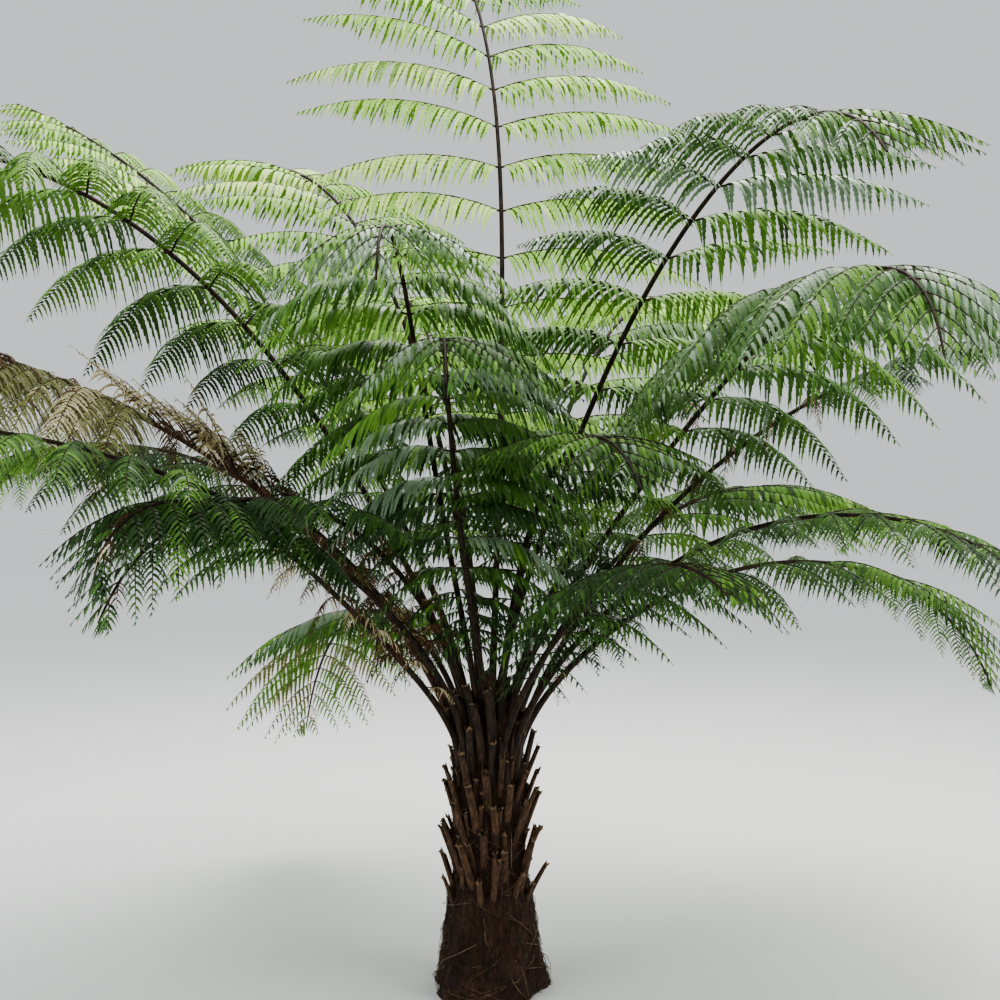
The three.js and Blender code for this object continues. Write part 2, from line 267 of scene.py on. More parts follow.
class NodeTree:
    """A material's nodes, with short ways to add them."""

    def __init__(self, name: str) -> None:
        """Starts a material that holds only its surface shader.

        Args:
            name: The material's name.
        """
        self.material = bpy.data.materials.new(name)
        self.material.use_nodes = True
        self.tree = self.material.node_tree
        self.surface = self.tree.nodes["Principled BSDF"]

    def add(self, kind: str, joined: dict[str | int, Socket],
            **values: float | str | tuple) -> bpy.types.Node:
        """Adds a node.

        Args:
            kind: The node's Blender type.
            joined: The outputs that its inputs read, by the inputs' names or numbers.
            values: Its settings, and the values of its inputs by their names with _ for a space.

        Returns:
            The node.
        """
        node = self.tree.nodes.new(kind)
        for key, value in values.items():
            if hasattr(node, key):
                setattr(node, key, value)
            else:
                node.inputs[key.replace("_", " ")].default_value = value
        for key, output in joined.items():
            self.tree.links.new(output, node.inputs[key])
        return node

    def place(self, kind: str) -> Socket:
        """The coordinates of one kind, such as Object or UV."""
        return self.add("ShaderNodeTexCoord", {}).outputs[kind]
    # Brings the scene's placements up to date.

    def noise(self, place: Socket, scale: float, detail: float) -> Socket:
        """A noise pattern from 0 to 1, which is finer as its scale and detail rise."""
        return self.add("ShaderNodeTexNoise", {"Vector": place}, Scale=scale, Detail=detail).outputs["Fac"]

    def fit(self, value: Socket, source: Span, target: Span) -> Socket:
        """Maps a value from one span to another, and holds it there."""
        return self.add("ShaderNodeMapRange", {"Value": value}, From_Min=source[0], From_Max=source[1],
                        To_Min=target[0], To_Max=target[1]).outputs["Result"]

    def mix(self, share: Socket, first: Socket | Colour, second: Socket | Colour) -> Socket:
        """Mixes two colours, each of which may be an output that gives one.

        Args:
            share: How much of the second colour there is, from 0 to 1.
            first: The first colour.
            second: The second colour.

        Returns:
            The mixed colour.
        """
        node = self.add("ShaderNodeMix", {0: share}, data_type="RGBA")
        for index, colour in ((6, first), (7, second)):
            if isinstance(colour, Socket):
                self.tree.links.new(colour, node.inputs[index])
            else:
                node.inputs[index].default_value = (*colour, 1.0)
        return node.outputs[2]

    def finish(self, colour: Socket, roughness: float, gloss: float = 0.5) -> Material:
        """Finishes the surface.

        Args:
            colour: The output that gives its colour.
            roughness: Its roughness.
            gloss: The level of its reflections.

        Returns:
            The material.
        """
        self.tree.links.new(colour, self.surface.inputs["Base Color"])
        self.surface.inputs["Roughness"].default_value = roughness
        self.surface.inputs["Specular IOR Level"].default_value = gloss
        return self.material


@dataclass(frozen=True)
class LeafFinish:
    """The skin of a small leaf: mottled, with a paler midrib along its own length."""

    tone: LeafTone
    shade: Colour
    light: Colour
    midrib: Colour
    roughness: float = 0.55
    gloss: float = 0.28
    mottle: float = 38.0
    detail: float = 3.0
    mottle_span: Span = (0.35, 0.65)  # the noise values between which shade turns to light
    midrib_span: Span = (0.04, 0.2)  # across the leaf, where the midrib's colour starts to fade and ends
    midrib_share: float = 0.55

    def make(self) -> Material:
        """Makes the material, which reads the leaf's own UV map for its midrib.

        Returns:
            The material.
        """
        nodes = NodeTree(f"leaf_{self.tone.name.lower()}")
        mottle = nodes.noise(nodes.place("Object"), self.mottle, self.detail)
        skin = nodes.mix(nodes.fit(mottle, self.mottle_span, (0.0, 1.0)), self.shade, self.light)
        across = nodes.add("ShaderNodeSeparateXYZ", {0: nodes.place("UV")}).outputs["X"]
        near = nodes.fit(across, self.midrib_span, (self.midrib_share, 0.0))
        return nodes.finish(nodes.mix(near, skin, self.midrib), self.roughness, self.gloss)


LEAF_FINISHES = (
    # partly painted shade: the darkest leaf green
    LeafFinish(LeafTone.DEEP, (0.013, 0.04, 0.008), (0.026, 0.07, 0.014), (0.04, 0.085, 0.02)),
    LeafFinish(LeafTone.GREEN, (0.034, 0.1, 0.012), (0.062, 0.155, 0.021), (0.085, 0.17, 0.03)),
    LeafFinish(LeafTone.FRESH, (0.09, 0.22, 0.021), (0.145, 0.3, 0.036), (0.16, 0.3, 0.05)),
    # painted back light: a glowing yellow green
    LeafFinish(LeafTone.BRIGHT, (0.21, 0.42, 0.05), (0.3, 0.52, 0.085), (0.26, 0.38, 0.09)),
    # painted back light: the palest glowing green
    LeafFinish(LeafTone.PALE, (0.4, 0.6, 0.14), (0.52, 0.68, 0.21), (0.4, 0.48, 0.16)),
    # painted reflection of the sky: a pale blue green, a little glossier
    LeafFinish(LeafTone.SILVER, (0.13, 0.21, 0.125), (0.23, 0.33, 0.2), (0.24, 0.33, 0.2), 0.42, 0.45),
    LeafFinish(LeafTone.OLIVE, (0.12, 0.135, 0.032), (0.22, 0.23, 0.07), (0.22, 0.2, 0.07)),
    LeafFinish(LeafTone.STRAW, (0.47, 0.39, 0.21), (0.78, 0.7, 0.46), (0.36, 0.27, 0.15), 0.75),
    LeafFinish(LeafTone.RUST, (0.08, 0.036, 0.015), (0.17, 0.085, 0.036), (0.05, 0.025, 0.012), 0.8),
)


@dataclass(frozen=True)
class Stains:
    """Darker patches over a grain."""

    scale: float
    detail: float
    span: Span  # the noise values at which they start and are full
    share: float  # how dark they become


@dataclass(frozen=True)
class GrainFinish:
    """A rough skin with an upright grain, as on stalks, matted fibre, old stubs and their broken ends."""

    name: str
    stops: tuple[tuple[float, Colour], ...]  # the grain's colours from dark to light, and where they stand
    scale: float
    detail: float
    upright: float  # the grain's scale along Z, which draws it out the more the smaller it is
    relief: float
    roughness: float
    gloss: float = 0.5
    strength: float = 1.0  # how much of the relief shows
    stains: Stains | None = None

    def make(self) -> Material:
        """Makes the material.

        Returns:
            The material.
        """
        nodes = NodeTree(self.name)
        place = nodes.place("Object")
        drawn = nodes.add("ShaderNodeMapping", {"Vector": place}, Scale=(1.0, 1.0, self.upright))
        grain = nodes.noise(drawn.outputs["Vector"], self.scale, self.detail)
        ramp = nodes.add("ShaderNodeValToRGB", {"Fac": grain})
        elements, colour = ramp.color_ramp.elements, ramp.outputs["Color"]
        while len(elements) < len(self.stops):
            elements.new(0.5)
        for element, (position, shade) in zip(elements, self.stops):
            element.position, element.color = position, (*shade, 1.0)
        if self.stains:
            patches = nodes.noise(place, self.stains.scale, self.stains.detail)
            share = nodes.fit(patches, self.stains.span, (0.0, self.stains.share))
            colour = nodes.mix(share, colour, self.stops[0][1])
        bump = nodes.add("ShaderNodeBump", {"Height": grain}, Distance=self.relief, Strength=self.strength)
        nodes.tree.links.new(bump.outputs["Normal"], nodes.surface.inputs["Normal"])
        return nodes.finish(colour, self.roughness, self.gloss)


def stalk_finish(name: str, dark: Colour, light: Colour) -> GrainFinish:
    """The dark, scurfy skin of ribs, stalks and loose fibres, between two colours."""
    return GrainFinish(name, ((0.38, dark), (0.72, light)), 90.0, 4.0, 0.25, 0.0012, 0.62, 0.25, 0.6)


def stub_finish(name: str, dark: Colour, middle: Colour, light: Colour) -> GrainFinish:
    """The weathered skin of old stalk stubs, streaked along their length, in three colours."""
    return GrainFinish(name, ((0.3, dark), (0.52, middle), (0.75, light)), 170.0, 5.0, 0.1, 0.0025, 0.85,
                       stains=Stains(30.0, 3.0, (0.45, 0.68), 0.8))


STALK_DARK = stalk_finish("stalk_dark", (0.01, 0.006, 0.004), (0.055, 0.028, 0.014))
STALK_RED = stalk_finish("stalk_red", (0.025, 0.011, 0.007), (0.1, 0.042, 0.026))
BARK = GrainFinish("trunk_fibre", ((0.3, (0.01, 0.005, 0.0035)), (0.5, (0.042, 0.018, 0.01)),
                                   (0.78, (0.1, 0.044, 0.025))), 260.0, 5.0, 0.12, 0.004, 0.92,
                   stains=Stains(14.0, 4.0, (0.42, 0.66), 0.7))
STUB_TAN = stub_finish("stub_tan", (0.025, 0.012, 0.006), (0.09, 0.042, 0.018), (0.185, 0.098, 0.045))
STUB_PITH = GrainFinish("stub_pith", ((0.35, (0.08, 0.045, 0.022)), (0.65, (0.3, 0.2, 0.11))),
                        320.0, 4.0, 1.0, 0.002, 0.95)
STUB_DARK = stub_finish("stub_dark", (0.012, 0.007, 0.005), (0.04, 0.02, 0.011), (0.1, 0.058, 0.032))
STUB_FINISHES = (STUB_TAN, STUB_PITH, STUB_DARK)


class Skin(Enum):
    """The skins of the stubs, each with its place among their finishes."""

    TAN = 0
    PITH = 1
    DARK = 2


@dataclass(frozen=True)
class FloorFinish:
    """A plain pale studio floor that whitens with distance."""

    name: str = "studio_floor"
    near: Colour = (0.72, 0.73, 0.72)
    far: Colour = (1.0, 1.0, 1.0)
    span: Span = (2.5, 16.0)  # the distances between which it whitens
    roughness: float = 0.9

    def make(self) -> Material:
        """Makes the material.

        Returns:
            The material.
        """
        nodes = NodeTree(self.name)
        distance = nodes.add("ShaderNodeVectorMath", {0: nodes.place("Object")}, operation="LENGTH")
        share = nodes.fit(distance.outputs["Value"], self.span, (0.0, 1.0))
        return nodes.finish(nodes.mix(share, self.near, self.far), self.roughness)


class ShapeArray:
    """Gathers many small shapes and makes one joined mesh of them."""

    def __init__(self) -> None:
        """Starts empty."""
        self.points: list[Array] = []
        self.corners: list[Array] = []
        self.sizes: list[Array] = []
        self.places: list[Array] = []
        self.finishes: list[Array] = []
        self.count = 0

    def add(self, points: Array, pattern: Array, places: Array, finish: Array) -> None:
        """Adds several shapes of one pattern.

        Args:
            points: Their points, as shapes by points by 3.
            pattern: The corners of each face of one shape, as faces by corners.
            places: The place of each point on the leaf, as points by 2.
            finish: The finish index of each shape.
        """
        shapes, size = points.shape[:2]
        first = self.count + size * np.arange(shapes)
        corners = first[:, None, None] + pattern[None]
        self.points.append(points.reshape(-1, 3))
        self.corners.append(corners.reshape(-1))
        self.sizes.append(np.full(shapes * len(pattern), pattern.shape[1]))
        self.places.append(np.tile(places[pattern.reshape(-1)], (shapes, 1)))
        self.finishes.append(np.repeat(np.asarray(finish), len(pattern)))
        self.count += shapes * size

    def add_plain(self, points: Array, pattern: Array) -> None:
        """Adds several shapes of one pattern with the first finish and no place on a leaf."""
        shapes, size = points.shape[:2]
        self.add(points, pattern, np.zeros((size, 2)), np.zeros(shapes, int))

    def add_tubes(self, centre: Array, up: Array, side: Array, radius: Array, sides: int) -> Array:
        """Adds open tubes round centre lines.

        Args:
            centre: The centre lines, as tubes by rings by 3.
            up: The first direction across them, of the same shape.
            side: The second direction across them, of the same shape.
            radius: The radius at each ring, as tubes by rings.
            sides: How many points there are in each ring.

        Returns:
            The points, as tubes by points by 3.
        """
        tubes, rings = centre.shape[:2]
        turn = np.arange(sides) * 2 * math.pi / sides
        around = np.cos(turn)[:, None] * side[..., None, :] + np.sin(turn)[:, None] * up[..., None, :]
        points = (centre[..., None, :] + radius[..., None, None] * around).reshape(tubes, -1, 3)
        ring, corner = np.meshgrid(np.arange(rings - 1) * sides, np.arange(sides), indexing="ij")
        after = (corner + 1) % sides
        pattern = np.stack((ring + corner, ring + after, ring + sides + after, ring + sides + corner), -1)
        self.add_plain(points, pattern.reshape(-1, 4))
        return points

    def make(self, name: str, materials: list[Material]) -> Piece:
        """Makes the joined mesh as an object at the origin.

        Args:
            name: The piece's name.
            materials: The materials that the finish indices count through.

        Returns:
            The object.
        """
        mesh = bpy.data.meshes.new(name)
        corners = np.concatenate(self.corners).astype(np.int32)
        sizes = np.concatenate(self.sizes)
        finishes = np.concatenate(self.finishes)
        mesh.vertices.add(self.count)
        mesh.vertices.foreach_set("co", np.concatenate(self.points).astype(np.float32).ravel())
        mesh.loops.add(len(corners))
        mesh.loops.foreach_set("vertex_index", corners)
        mesh.polygons.add(len(sizes))
        starts = np.concatenate(([0], np.cumsum(sizes)[:-1])).astype(np.int32)
        mesh.polygons.foreach_set("loop_start", starts)
        used = sorted(set(finishes.tolist()))
        for index in used:
            mesh.materials.append(materials[index])
        mesh.update(calc_edges=True)
        mesh.polygons.foreach_set("material_index", np.searchsorted(used, finishes).astype(np.int32))
        layer = mesh.uv_layers.new(name="leaf")
        layer.uv.foreach_set("vector", np.concatenate(self.places).astype(np.float32).ravel())
        mesh.shade_smooth()
        mesh.validate()
        return add_object(name, mesh)


@dataclass(frozen=True)
class Habit:
    """How the leaflets of a live or a withered stretch grow."""

    lift: float
    rise: float  # degrees by which the small leaves set out above the leaflet's plane
    hang: float  # how far they then bend down
    lean: float  # how far they lean towards their stalk's tip
    width_share: float
    unrest: float
    pitch: float  # between the small leaves of a row
    bare: float = 0.02  # of a leaflet's stalk, before its first small leaves


LIVE = Habit(lift=0.14, rise=12, hang=1.15, lean=0.4, width_share=1.0, unrest=0.08, pitch=0.0222)
FADING = Habit(lift=0.14, rise=8, hang=1.15, lean=0.4, width_share=0.66, unrest=0.14, pitch=0.0195)
DEAD = Habit(lift=0.6, rise=0, hang=1.1, lean=0.4, width_share=0.5, unrest=0.3, pitch=0.0145)
FOLDED = Habit(lift=0.46, rise=20, hang=0.9, lean=0.3, width_share=0.62, unrest=0.25, pitch=0.0145, bare=0.1)


@dataclass
class SmallLeaf:
    """The small leaf that hangs in rows from a leaflet: narrow, lobed, bent down and a little cupped."""

    lobes: int = 8
    lobe_lead: float = 0.9  # how far along its step of the leaf a lobe's tip stands
    notch: float = 0.62  # how far out the notches between the lobes stand
    foot_width: float = 0.6
    taper_start: float = 0.3
    taper: float = 1.9
    widest_half: float = 0.0089
    least_half: float = 0.0028
    half_share: float = 0.08  # how half its width grows with its length
    cup: float = 0.25
    cup_start: float = 0.5  # how far out a point stands to be drawn down by the cup
    trail: float = 0.1  # how far it bends along with its stalk
    notch_mark: float = 0.12  # the notches' place across the leaf, within reach of the midrib's colour

    def __post_init__(self) -> None:
        """Lays out its points: pairs of notches, the tip, and pairs of lobe tips."""
        step = np.repeat(np.arange(self.lobes), 2)
        self.along = np.concatenate((step / self.lobes, [1.0], (step + self.lobe_lead) / self.lobes))
        self.sides = np.array([*BOTH_SIDES * self.lobes, 0.0, *BOTH_SIDES * self.lobes])
        taper = 1 - np.clip((self.along - self.taper_start) / (1 - self.taper_start), 0, 1) ** self.taper
        notched = np.where(np.arange(len(self.along)) < 2 * self.lobes, self.notch, 1.0)
        self.reach = notched * taper * np.where(self.along > 0, 1, self.foot_width)
        self.cupped = np.abs(self.sides) * (self.reach > self.cup_start)
        across = [self.notch_mark] * 2 * self.lobes + [0.0] + [1.0] * 2 * self.lobes
        self.places = np.stack((across, self.along), -1)
        self.faces = self.pattern()

    def pattern(self) -> Array:
        """Its faces: a lobe on each side of every step, and the strip between its notches.

        Returns:
            The corners of each face, as faces by 3.
        """
        tip, faces = 2 * self.lobes, []
        for left in range(0, tip, 2):
            right, lobe = left + 1, tip + 1 + left
            next_left, next_right = min(left + 2, tip), min(right + 2, tip)
            faces += [(left, lobe, next_left), (right, next_right, lobe + 1), (left, next_left, right)]
            if next_left < tip:
                faces.append((right, next_left, next_right))
        return np.array(faces)

    def row(self, leaflet: "Leaflet", at: Array, hand: float, length: Array) -> Array:
        """The points of a row of small leaves along one side of a leaflet's stalk.

        Args:
            leaflet: The leaflet.
            at: Where each small leaf starts, as a share of the leaflet's length.
            hand: Which side of the stalk the row is on, -1 or 1.
            length: Each small leaf's length.

        Returns:
            The points, as leaves by points by 3.
        """
        habit, (root, stalk, normal) = leaflet.habit, leaflet.curve(at)
        uneven = leaflet.frond.draw.normal(0.0, habit.unrest, (len(at), 4))
        rise = math.radians(habit.rise) + uneven[:, :1]
        across = hand * unit(np.cross(stalk, normal))
        way = unit(across * np.cos(rise) + normal * np.sin(rise) + stalk * (habit.lean + uneven[:, 1:2]))
        length = (length * (1 + uneven[:, 2]))[:, None, None]
        half = np.minimum(self.widest_half, self.least_half + self.half_share * length) * habit.width_share
        bend = DOWN * habit.hang + stalk[:, None] * self.trail
        share = self.along[None, :, None]
        centre = root[:, None] + way[:, None] * length * share + bend * length * share**2
        heading = unit(way[:, None] + 2 * bend * share)
        wide = square_to(stalk[:, None], heading) * hand
        over = np.cross(heading, wide)
        twist = uneven[:, 3][:, None, None]
        wide = wide * np.cos(twist) + over * np.sin(twist)
        offset = (self.sides * self.reach)[None, :, None] * half
        return centre + wide * offset + over * (-self.cup * half * self.cupped[None, :, None])


SMALL_LEAF = SmallLeaf()


@dataclass
class Leaflet:
    """One long leaflet: a thin drooping stalk with a row of small leaves along each side."""

    frond: "Frond"
    share: float  # of the rib, from its foot
    sign: float  # which side of the rib it is on, -1 or 1
    length: float
    angle: float  # against the rib, in degrees
    droop: float
    habit: Habit
    mood: Mood
    waver: float = 0.4  # how unevenly it sets out, as a share of its habit's unrest
    rings: int = 9
    sides: int = 4
    tip_radius: float = 0.0006
    stalk_radius: float = 0.0028
    slimmest: float = 0.45  # the share of its thickness that even the shortest keeps
    sag: float = 0.6  # how much its droop lengthens it
    leaf_share: float = 0.18  # the length of its small leaves, as a share of its own
    leaf_span: Span = (0.03, 0.115)
    fewest: int = 4
    leaf_lead: float = 0.3  # where each small leaf stands in its step of the stalk
    leaf_offset: float = 0.25  # of each row, in steps
    foot_leaf: float = 0.66
    foot_growth: float = 0.34
    foot_reach: float = 0.2
    taper_start: float = 0.3
    taper: float = 1.5
    tip_loss: float = 0.93
    main_share: float = 0.75  # of its small leaves, which all have its main tone
    bleached_from: Span = (0.2, 0.6)  # the share of a withered leaflet past which it is straw

    def set_out(self) -> None:
        """Works out where it starts and which way it goes."""
        frond, habit, share = self.frond, self.habit, np.array([self.share])
        along, up, side = (part[0] for part in frond.frame(share))
        angle = math.radians(self.angle)
        out = along * math.cos(angle) + side * self.sign * math.sin(angle) + up * habit.lift
        self.root = frond.point(share)[0]
        self.out = unit(unit(out) + frond.draw.normal(0.0, habit.unrest * self.waver, 3))
        self.normal = unit(up * (1 - frond.form.level) - DOWN * frond.form.level)

    def curve(self, share: Array) -> tuple[Array, Array, Array]:
        """Its centre line at shares of its length.

        Args:
            share: The shares.

        Returns:
            The points, and the headings and upward directions there, each as shares by 3.
        """
        share = share[:, None]
        line = self.root + self.out * self.length * share + DOWN * self.droop * self.length * share**2
        heading = unit(self.out + 2 * DOWN * self.droop * share)
        return line, heading, square_to(self.normal, heading)

    def stalk(self) -> None:
        """Adds its stalk to the frond's."""
        share = np.linspace(0, 1, self.rings)
        line, heading, over = self.curve(share)
        thickness = min(1.0, self.slimmest + self.length)
        radius = (self.tip_radius + self.stalk_radius * (1 - share)) * thickness
        beside = np.cross(heading, over)
        self.frond.stalks.add_tubes(line[None], over[None], beside[None], radius[None], self.sides)

    def rows(self) -> None:
        """Adds its two rows of small leaves to the frond's live or withered ones."""
        habit, draw = self.habit, self.frond.draw
        leaves = self.frond.leaves if habit in (LIVE, FADING) else self.frond.withered
        longest = min(self.leaf_span[1], max(self.leaf_span[0], self.leaf_share * self.length))
        arc = self.length * (1 + self.droop**2 * self.sag)
        count = max(self.fewest, round((arc - habit.bare) / habit.pitch))
        at = (habit.bare + (arc - habit.bare) * (np.arange(count) + self.leaf_lead) / count) / arc
        foot = self.foot_leaf + self.foot_growth * np.minimum(1, at / self.foot_reach)
        tip = np.clip((at - self.taper_start) / (1 - self.taper_start), 0, 1) ** self.taper
        length = longest * (foot * (1 - self.tip_loss * tip))
        tones = np.array([tone.value for tone, _ in self.mood.value])
        shares = np.array([part for _, part in self.mood.value])
        main = draw.choice(tones, p=shares)
        for row in BOTH_SIDES:
            offset = (self.leaf_offset * row) / count
            points = SMALL_LEAF.row(self, at + offset, row * self.sign, length)
            plain = draw.random(count) < self.main_share
            finish = np.where(plain, main, draw.choice(tones, size=count, p=shares))
            if self.mood is Mood.WITHERED:
                finish = np.where(at > draw.uniform(*self.bleached_from), LeafTone.STRAW.value, finish)
            leaves.add(points, SMALL_LEAF.faces, SMALL_LEAF.places, finish)


@dataclass
class Frond:
    """One frond: a rib, its long leaflets, and the small lobed leaves that hang from each."""

    form: FrondForm
    order: int
    steps: int = 48
    foot_elevation: float = 85.0
    heel: float = 0.1  # how soon the rib leaves the foot's elevation, as a share of its length
    tip_radius: float = 0.0025
    stalk_radius: float = 0.0075
    taper: float = 0.7
    foot_swell: float = 0.005
    swell_reach: float = 0.06
    start: float = 0.29  # where its blade starts, as a share of the rib
    end: float = 0.985
    crowding: float = 1.35  # the higher this power, the closer the pairs stand towards the tip
    widest: float = 0.42
    foot_share: float = 0.6
    foot_curve: float = 2.0
    tip_share: float = 0.1
    tip_curve: float = 2.2
    leaf_to_rib: float = 0.225
    foot_angle: float = 80.0
    tip_angle: float = 42.0
    angle_curve: float = 1.5
    vary: float = 0.14
    droop_vary: float = 0.1
    mood_turn: float = 0.5  # the place along the blade from which its end's mood holds
    loss: float = 0.95  # the chance that a leaflet of a withered stretch has gone
    stray_loss: float = 0.002  # the chance elsewhere, for each remnant
    dead_length: float = 0.38
    dead_droop: Span = (0.9, 1.4)
    fold_angle: Span = (16, 40)
    fold_length: Span = (0.5, 0.75)
    fold_droop: Span = (0.12, 0.32)
    perished_until: float = 0.15
    skirt_pitch: float = 0.032
    skirt_play: float = 0.3
    skirt_length: float = 0.5
    skirt_step: float = 0.13  # by which each pair is shorter than the one above it
    skirt_angle: Span = (2, 14)
    skirt_droop: float = 1.3
    remnant_from: float = 0.15
    remnant_length: Span = (0.1, 0.2)
    remnant_angle: Span = (20, 100)
    remnant_droop: Span = (0.4, 0.95)
    rings: int = 65
    sides: int = 10

    def __post_init__(self) -> None:
        """Works out the rib's centre line, and starts its shapes and its seeded unevenness."""
        form, seat, (radius, height) = self.form, math.radians(self.form.seat), self.form.ring.value
        foot = trunk_centre(height) + radius * np.array((math.cos(seat), math.sin(seat), 0.0))
        along, _, _ = self.frame((np.arange(self.steps) + 0.5) / self.steps)
        self.line = np.vstack((foot, foot + np.cumsum(along * (form.length / self.steps), axis=0)))
        self.leaves, self.withered, self.stalks = ShapeArray(), ShapeArray(), ShapeArray()
        self.draw = np.random.default_rng(FROND_SEED + self.order)

    def frame(self, share: Array) -> tuple[Array, Array, Array]:
        """The rib's direction at shares of its length, with the upward and sideways ones on it.

        Args:
            share: The shares.

        Returns:
            The directions along, up and to the side, each as shares by 3.
        """
        form = self.form
        free = form.launch + (form.tip - form.launch) * share**form.late
        rise = np.radians(free + (self.foot_elevation - free) * np.exp(-share / self.heel))
        turn = np.radians(form.heading + form.sway * share)
        level = np.stack((np.cos(turn), np.sin(turn), np.zeros_like(turn)), -1)
        run, climb = np.cos(rise)[:, None], np.sin(rise)[:, None]
        return level * run - DOWN * climb, level * -climb - DOWN * run, np.cross(-DOWN, level)

    def point(self, share: Array) -> Array:
        """The rib's centre line at shares of its length."""
        steps = np.linspace(0, 1, self.steps + 1)
        return np.stack([np.interp(share, steps, self.line[:, axis]) for axis in range(3)], -1)

    def share(self, place: float) -> float:
        """The share of the rib at a place along the blade, from 0 at its foot to 1 at its tip."""
        return self.start + (self.end - self.start) * place

    def reach(self, place: float) -> float:
        """An even live leaflet's length at a place along the blade.

        Args:
            place: The place.

        Returns:
            The length.
        """
        longest = self.form.length * self.leaf_to_rib
        if place < self.widest:
            return longest * (1 - (1 - self.foot_share) * (1 - place / self.widest) ** self.foot_curve)
        outer = (place - self.widest) / (1 - self.widest)
        return longest * (1 - (1 - self.tip_share) * outer**self.tip_curve)

    def blade(self) -> Iterator[Leaflet]:
        """Plans the blade's pairs of leaflets, and the one at its tip.

        Yields:
            Each leaflet.
        """
        form, draw = self.form, self.draw
        pairs = [(index, sign) for index in range(form.pairs) for sign in BOTH_SIDES]
        for index, sign in (*pairs, (form.pairs, 1.0)):
            place = 1 - (1 - index / form.pairs) ** self.crowding
            share = self.share(place)
            length = self.reach(place) * (1 + self.vary * (draw.random() - 0.5))
            angle = self.foot_angle + (self.tip_angle - self.foot_angle) * place**self.angle_curve
            inside = form.withered[0] <= place < form.withered[1]
            bare, folded = inside and sign in form.bare_sides, inside and form.folds > 0
            if draw.random() >= (self.loss if bare or folded else self.stray_loss * form.remnants):
                droop = form.droop * (1 + draw.normal(0.0, self.droop_vary))
                mood = form.mood if place < self.mood_turn else form.end_mood
                habit = FADING if mood is Mood.FADED else LIVE
                yield Leaflet(self, share, sign, length, angle, droop, habit, mood)
            elif folded and not bare:
                yield self.folded(place, sign, length)
            else:
                droop, length = draw.uniform(*self.dead_droop), self.dead_length * length
                yield Leaflet(self, share, sign, length, angle, droop, DEAD, Mood.PERISHED)

    def folded(self, place: float, sign: float, length: float) -> Leaflet:
        """Plans one withered leaflet that lies folded back along the rib.

        Args:
            place: Where it stands along the blade.
            sign: Which side of the rib it is on, -1 or 1.
            length: A live leaflet's length there.

        Returns:
            The leaflet.
        """
        angle, share = self.draw.uniform(*self.fold_angle), self.draw.uniform(*self.fold_length)
        droop = self.draw.uniform(*self.fold_droop)
        mood = Mood.PERISHED if place < self.perished_until else Mood.WITHERED
        return Leaflet(self, self.share(place), sign, share * length, angle, droop, FOLDED, mood)

    def skirt(self) -> Iterator[Leaflet]:
        """Plans the pairs of short leaflets that carry the blade on down its stalk.

        Yields:
            Each leaflet.
        """
        form, draw = self.form, self.draw
        for index, sign in ((index, sign) for index in range(form.skirts) for sign in BOTH_SIDES):
            share = self.start - (index + 1 + self.skirt_play * draw.random()) * self.skirt_pitch
            length = form.length * self.leaf_to_rib * (self.skirt_length - self.skirt_step * index)
            length = length * (1 + self.vary * (draw.random() - 0.5))
            angle = self.foot_angle + draw.uniform(*self.skirt_angle)
            # the skirts take the darkest mood, painted shade at the crown's foot
            yield Leaflet(self, share, sign, length, angle, form.droop * self.skirt_droop, LIVE, Mood.DIM)

    def stragglers(self) -> Iterator[Leaflet]:
        """Plans the withered leaflets on the stalk below the blade, and more of the folded ones.

        Yields:
            Each leaflet.
        """
        form, draw = self.form, self.draw
        for _ in range(form.remnants):
            share, sign = draw.uniform(self.remnant_from, self.start), draw.choice(BOTH_SIDES)
            length, angle = draw.uniform(*self.remnant_length), draw.uniform(*self.remnant_angle)
            droop = draw.uniform(*self.remnant_droop)
            yield Leaflet(self, share, sign, length, angle, droop, DEAD, Mood.PERISHED)
        for _ in range(form.folds):
            place = draw.uniform(*form.withered)
            yield self.folded(place, -1.0 if 1 in form.bare_sides else 1.0, self.reach(place))

    def rib(self) -> None:
        """Adds the rib, a closed tube that tapers to the frond's tip, to the stalks."""
        share = np.linspace(0, 1, self.rings)
        line, (_, up, side) = self.point(share), self.frame(share)
        swell = self.foot_swell * np.exp(-share / self.swell_reach)
        radius = self.tip_radius + self.stalk_radius * (1 - share) ** self.taper + swell
        points = self.stalks.add_tubes(line[None], up[None], side[None], radius[None], self.sides)
        for first, order in ((0, -1), ((self.rings - 1) * self.sides, 1)):
            self.stalks.add_plain(points[:, first:first + self.sides], np.arange(self.sides)[None, ::order])

    def build(self, finishes: list[Material], stalk: Material) -> None:
        """Builds the frond's pieces and puts them in its solids' place.

        Args:
            finishes: The leaf materials, in the order of LeafTone.
            stalk: The stalks' material.
        """
        form = self.form
        self.rib()
        for leaflet in [*self.blade(), *self.skirt(), *self.stragglers()]:
            leaflet.set_out()
            leaflet.stalk()
            leaflet.rows()
        leaf_slot = "frond_browned" if form.browned else "frond_green"
        for kind, shapes, materials, slot in (("leaflets", self.leaves, finishes, leaf_slot),
                                              ("withered", self.withered, finishes, leaf_slot),
                                              ("stalks", self.stalks, [stalk], None)):
            if shapes.points:
                set_in_place(shapes.make(f"{form.name}_{kind}", materials), form.nodes, slot)


